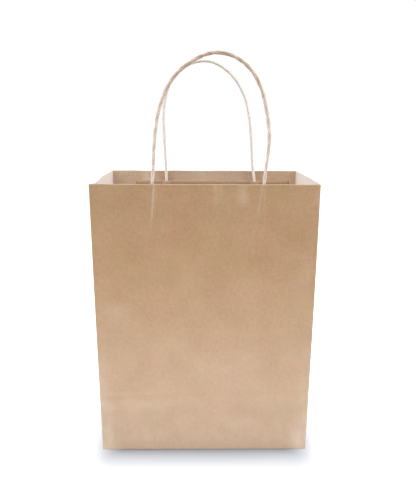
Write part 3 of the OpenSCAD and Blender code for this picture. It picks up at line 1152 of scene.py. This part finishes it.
def cord_tree():
    """Geometry nodes that twist two plies along a line."""
    tree = bpy.data.node_groups.new("twisted_cord", "GeometryNodeTree")
    sizes = ("Ply radius", "Ply offset", "Lay length", "Step", "Unevenness", "Loosening", "Seed")
    for name, way, kind in (
        ("Geometry", "INPUT", "Geometry"), *((name, "INPUT", "Float") for name in sizes),
        ("Material", "INPUT", "Material"), ("Geometry", "OUTPUT", "Geometry"),
    ):
        tree.interface.new_socket(name, in_out=way, socket_type="NodeSocket" + kind)
    given = add_node(tree, "NodeGroupInput").outputs
    line = add_node(tree, "GeometryNodeMeshToCurve", {"Mesh": given["Geometry"]})
    sized = add_node(
        tree, "GeometryNodeResampleCurve", {"Curve": line, "Length": given["Step"]}, mode="LENGTH"
    )
    run = add_node(tree, "GeometryNodeSplineParameter").outputs
    length = run["Length"]
    # 1 at the top of the loop, where a hand holds it, and 0 near both ends
    half_way = add_node(tree, "ShaderNodeMath", (run["Factor"], 0.5), operation="SUBTRACT")
    half_way = add_node(tree, "ShaderNodeMath", [half_way], operation="ABSOLUTE")
    held = add_node(
        tree, "ShaderNodeMapRange", (half_way, 0.1, 0.22, 1.0, 0.0),
        interpolation_type="SMOOTHSTEP",
    ).outputs["Result"]
    around = add_node(tree, "GeometryNodeSplineParameter").outputs["Factor"]
    # 1 on the side of a ply that lies in the groove, 0 on its outside, for the painted shade in the
    # groove
    angle = add_node(tree, "ShaderNodeMath", (around, 2 * math.pi), operation="MULTIPLY")
    facing = add_node(tree, "ShaderNodeMath", [angle], operation="COSINE")
    groove_shade = add_node(tree, "ShaderNodeMapRange", (facing, 0.25, -0.44, 0.0, 1.0))
    circle = add_node(
        tree, "GeometryNodeCurvePrimitiveCircle", {"Resolution": 14, "Radius": given["Ply radius"]},
        mode="RADIUS",
    )
    # What the cord's material reads, stored on the line and on the ply's circle
    stored = []
    for geometry, marks in (
        (sized, (("along", length), ("held", held))),
        (circle, (("around", around), ("groove_shade", groove_shade))),
    ):
        for mark, value in marks:
            geometry = add_node(
                tree, "GeometryNodeStoreNamedAttribute",
                {"Geometry": geometry, "Name": mark, "Value": value},
                data_type="FLOAT", domain="POINT",
            )
        stored.append(geometry)
    sized, circle = stored
    # Slow changes of twist (every 17 mm) and of thickness (every 6 mm)
    wander = {}
    for use, period, shift in (("twist", 17, 3.0), ("thickness", 6, 11.0)):
        start = add_node(tree, "ShaderNodeMath", (given["Seed"], shift), operation="ADD")
        place = add_node(
            tree, "ShaderNodeMath", (length, 1 / (period * MM), start), operation="MULTIPLY_ADD"
        )
        found = add_node(
            tree, "ShaderNodeTexNoise", {"W": place, "Scale": 1.0, "Detail": 1.0},
            noise_dimensions="1D",
        )
        wander[use] = add_node(tree, "ShaderNodeMath", (found, 0.5), operation="SUBTRACT")
    turns = add_node(tree, "ShaderNodeMath", (length, given["Lay length"]), operation="DIVIDE")
    uneven = add_node(tree, "ShaderNodeMath", (wander["twist"], 3.0), operation="MULTIPLY")
    twist = add_node(
        tree, "ShaderNodeMath", (turns, 2 * math.pi, uneven), operation="MULTIPLY_ADD"
    )
    sized = add_node(tree, "GeometryNodeSetCurveTilt", {"Curve": sized, "Tilt": twist})
    spread = add_node(tree, "ShaderNodeMath", (given["Unevenness"], 2.0), operation="MULTIPLY")
    thick = 1.0
    for share, most in ((wander["thickness"], spread), (held, given["Loosening"])):
        thick = add_node(tree, "ShaderNodeMath", (share, most, thick), operation="MULTIPLY_ADD")
    sized = add_node(tree, "GeometryNodeSetCurveRadius", {"Curve": sized, "Radius": thick})
    offset = add_node(tree, "ShaderNodeCombineXYZ", [given["Ply offset"]])
    moved = add_node(tree, "GeometryNodeTransform", {"Geometry": circle, "Translation": offset})
    turned = add_node(
        tree, "GeometryNodeTransform", {"Geometry": moved, "Rotation": (0, 0, math.pi)}
    )
    pair = add_node(tree, "GeometryNodeJoinGeometry", [moved])
    tree.links.new(turned.outputs[0], pair.inputs[0])
    swept = add_node(
        tree, "GeometryNodeCurveToMesh", {"Curve": sized, "Profile Curve": pair, "Fill Caps": True}
    )
    shaded = add_node(tree, "GeometryNodeSetShadeSmooth", {"Geometry": swept})
    real = add_node(tree, "GeometryNodeRealizeInstances", {"Geometry": shaded})
    finished = add_node(
        tree, "GeometryNodeSetMaterial", {"Geometry": real, "Material": given["Material"]}
    )
    add_node(tree, "NodeGroupOutput", {"Geometry": finished})
    return tree


def grown_mesh(name, points, tree, values):
    """The plain mesh that a node tree makes from a line through points, in metres."""
    line = bpy.data.meshes.new(name + "_line")
    line.from_pydata([tuple(p) for p in points], [(i, i + 1) for i in range(len(points) - 1)], [])
    carrier = bpy.data.objects.new(name + "_line", line)
    bpy.context.scene.collection.objects.link(carrier)
    modifier = carrier.modifiers.new("twist", "NODES")
    modifier.node_group = tree
    for item in tree.interface.items_tree:
        if item.item_type == "SOCKET" and item.in_out == "INPUT" and item.name in values:
            modifier[item.identifier] = values[item.name]
    graph = bpy.context.evaluated_depsgraph_get()
    mesh = bpy.data.meshes.new_from_object(carrier.evaluated_get(graph))
    mesh.name = name
    carrier.modifiers.clear()
    bpy.data.objects.remove(carrier)
    bpy.data.meshes.remove(line)
    if not mesh.polygons:
        raise RuntimeError("the node tree made no faces for " + name)
    return mesh


class GIFTBAG_OT_handles(bpy.types.Operator):
    """Builds the two handles, each one twisted paper cord from patch to patch"""

    bl_idname = "giftbag.handles"
    bl_label = "Twisted handles"

    def execute(self, context):
        s = settings().cord
        tree = cord_tree()
        cords = {
            "front": (FRONT_ROUTE, FRONT_ENDS, -1, "front", s.front_ply, s.front_loosening, 0.0),
            "rear": (REAR_ROUTE, REAR_ENDS, 1, "back", s.rear_ply, s.rear_loosening, 50.0),
        }
        for name, (route, ends, facing, wall, ply, loosening, seed) in cords.items():
            values = {
                "Ply radius": ply * MM, "Ply offset": (CORD_R - ply) * MM,
                "Lay length": s.lay_length * MM, "Step": s.step * MM,
                "Unevenness": s.unevenness, "Loosening": loosening, "Seed": seed,
                "Material": material(name + "_cord"),
            }
            handle = name + "_handle"
            line = smooth_route(route, ends, facing) * MM
            mesh = grown_mesh(handle + "_cord", line, tree, values)
            piece = dressed(handle + "_cord", mesh, [handle, handle + "_ends"])
            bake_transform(piece)
        return {"FINISHED"}


# ---- stage -----------------------------------------------------------------


def seen_by_eye(tree):
    """1 for rays that see the backdrop from the camera, in gloss or through glass."""
    seen = 0.0
    path = add_node(tree, "ShaderNodeLightPath").outputs
    for ray in ("Is Camera Ray", "Is Glossy Ray", "Is Transmission Ray"):
        seen = add_node(tree, "ShaderNodeMath", (path[ray], seen), operation="MAXIMUM")
    return seen


FLOOR_HALF = 6.0
# The grey near the bag's foot is a painted shadow
FLOOR_SHADOW_GREY, FLOOR_FAR = "#83878E", "#B4B6B8"
# How much narrower than the bag the patch of floor is that stays grey as a painted shadow, and the
# length by
# # which the way past its ends is measured
FLOOR_INSET, FLOOR_BEND = 25, 37


def floor_material():
    """Matt paper, grey at the bag's foot, that whitens away from it, most to the eye: a painted
    shadow round the foot over the real one.
    """
    made, tree = empty_material("matt_paper_floor_painted_shadow")
    place = add_node(tree, "ShaderNodeTexCoord").outputs["Object"]
    # The bag's footprint is drawn together to a point: what is left is the way from it,
    # which grows slowly round the bag's corners and fast beside its sides
    foot = ((HALF_W - FLOOR_INSET) * MM, HALF_D * MM, 0)
    past = add_node(tree, "ShaderNodeVectorMath", [place], operation="ABSOLUTE")
    for operation, other in (("SUBTRACT", foot), ("MAXIMUM", (0, 0, 0))):
        past = add_node(tree, "ShaderNodeVectorMath", (past, other), operation=operation)
    bent = add_node(
        tree, "ShaderNodeVectorMath", (past, (1 / (FLOOR_BEND * MM), 0, 0), (0, 1, 0)),
        operation="MULTIPLY_ADD",
    )
    past = add_node(tree, "ShaderNodeVectorMath", (past, bent), operation="MULTIPLY")
    away = add_node(tree, "ShaderNodeVectorMath", [past], operation="LENGTH").outputs["Value"]
    # The white lift grows with the way from the bag, so the grey near its foot stays as a painted
    # shadow
    white = add_node(tree, "ShaderNodeMapRange", (away, 0.0, 0.05, 0.0, 1.0))
    white = add_node(tree, "ShaderNodeMath", (white, 0.72), operation="POWER")
    pale = add_node(tree, "ShaderNodeMapRange", (away, 0.035, 0.12, 0.0, 1.0))
    paint = add_node(
        tree, "ShaderNodeMix", {0: pale, 6: rgba(srgb(FLOOR_SHADOW_GREY)), 7: rgba(srgb(FLOOR_FAR))},
        data_type="RGBA",
    )
    matt = add_node(tree, "ShaderNodeBsdfDiffuse", {"Color": paint})
    glow = add_node(tree, "ShaderNodeMath", (seen_by_eye(tree), white), operation="MULTIPLY")
    lift = add_node(tree, "ShaderNodeEmission", {"Color": (1, 1, 1, 1), "Strength": glow})
    both = add_node(tree, "ShaderNodeAddShader", (matt, lift))
    add_node(tree, "ShaderNodeOutputMaterial", [both])
    return made


class GIFTBAG_OT_stage(bpy.types.Operator):
    """Sets up the white floor, the even light and the soft lamps"""

    bl_idname = "giftbag.stage"
    bl_label = "Stage"

    def execute(self, context):
        s = settings().stage
        mesh = bpy.data.meshes.new("floor")
        mesh.from_pydata(
            [(x, y, 0) for x, y in rectangle(-FLOOR_HALF, FLOOR_HALF, -FLOOR_HALF, FLOOR_HALF)],
            [], [(0, 1, 2, 3)],
        )
        mesh.materials.append(floor_material())
        floor = bpy.data.objects.new("floor", mesh)
        context.scene.collection.objects.link(floor)

        world = bpy.data.worlds.new("white_studio")
        world.use_nodes = True
        tree = world.node_tree
        tree.nodes.clear()
        light = add_node(
            tree, "ShaderNodeMath", (seen_by_eye(tree), 1 - s.sky, s.sky), operation="MULTIPLY_ADD"
        )
        sky = add_node(tree, "ShaderNodeBackground", {"Color": (1, 1, 1, 1), "Strength": light})
        add_node(tree, "ShaderNodeOutputWorld", [sky])
        context.scene.world = world

        # Place and target in metres, width, height and power
        for name, place, target, width, height, power in (
            ("key_lamp", (0, -0.85, 1.25), (0, 0, 0.25), 1.0, 1.0, s.key_lamp),
            ("back_lamp", (0, 0.85, 1.25), (0, 0, 0.2), 1.0, 1.0, s.back_lamp),
            ("left_lamp", (-0.85, -0.05, 0.75), (0, 0, 0.2), 0.6, 0.6, s.side_lamps),
            ("right_lamp", (0.85, -0.05, 0.75), (0, 0, 0.2), 0.6, 0.6, s.side_lamps),
            ("low_lamp", (0, -0.27, 0.02), (0, 0, 0.03), 0.5, 0.04, s.low_lamp),
        ):
            data = bpy.data.lights.new(name, "AREA")
            data.shape = "RECTANGLE"
            data.size, data.size_y, data.energy = width, height, power
            lamp = bpy.data.objects.new(name, data)
            lamp.location = place
            ahead = Vector(target) - lamp.location
            lamp.rotation_euler = ahead.to_track_quat("-Z", "Y").to_euler()
            lamp.visible_camera = False
            context.scene.collection.objects.link(lamp)
        context.scene.view_settings.view_transform = "Standard"
        return {"FINISHED"}


# ---- panel and registration ------------------------------------------------

PIECES = (
    GIFTBAG_OT_camera, GIFTBAG_OT_handles, GIFTBAG_OT_front_sheet, GIFTBAG_OT_back_sheet,
    GIFTBAG_OT_side_gussets, GIFTBAG_OT_foot_sheets, GIFTBAG_OT_side_seam,
    GIFTBAG_OT_bottom_sheets, GIFTBAG_OT_handle_patches, GIFTBAG_OT_stage,
)


class GIFTBAG_PT_panel(bpy.types.Panel):
    """Lists the steps and the settings in the 3D view's sidebar"""

    bl_idname = "GIFTBAG_PT_panel"
    bl_label = "Gift bag"
    bl_space_type = "VIEW_3D"
    bl_region_type = "UI"
    bl_category = "Gift bag"

    def draw(self, context):
        for piece in PIECES:
            self.layout.operator(piece.bl_idname)
        for group in ("sheet", "cord", "colours", "stage"):
            box = self.layout.box()
            values = getattr(context.scene.gift_bag, group)
            for name in type(values).__annotations__:
                box.prop(values, name)


CLASSES = (
    SheetSettings, CordSettings, PaperColours, StageSettings, BagSettings, *PIECES,
    GIFTBAG_PT_panel,
)


def register():
    """Makes the classes and the settings known to Blender."""
    for each in CLASSES:
        bpy.utils.register_class(each)
    bpy.types.Scene.gift_bag = PointerProperty(type=BagSettings)


def unregister():
    """Takes the classes and the settings away again."""
    del bpy.types.Scene.gift_bag
    for each in reversed(CLASSES):
        bpy.utils.unregister_class(each)


def main():
    register()
    for piece in PIECES:
        group, step = piece.bl_idname.split(".")
        getattr(getattr(bpy.ops, group), step)()
    bpy.context.view_layer.update()


if __name__ == "__main__":
    main()
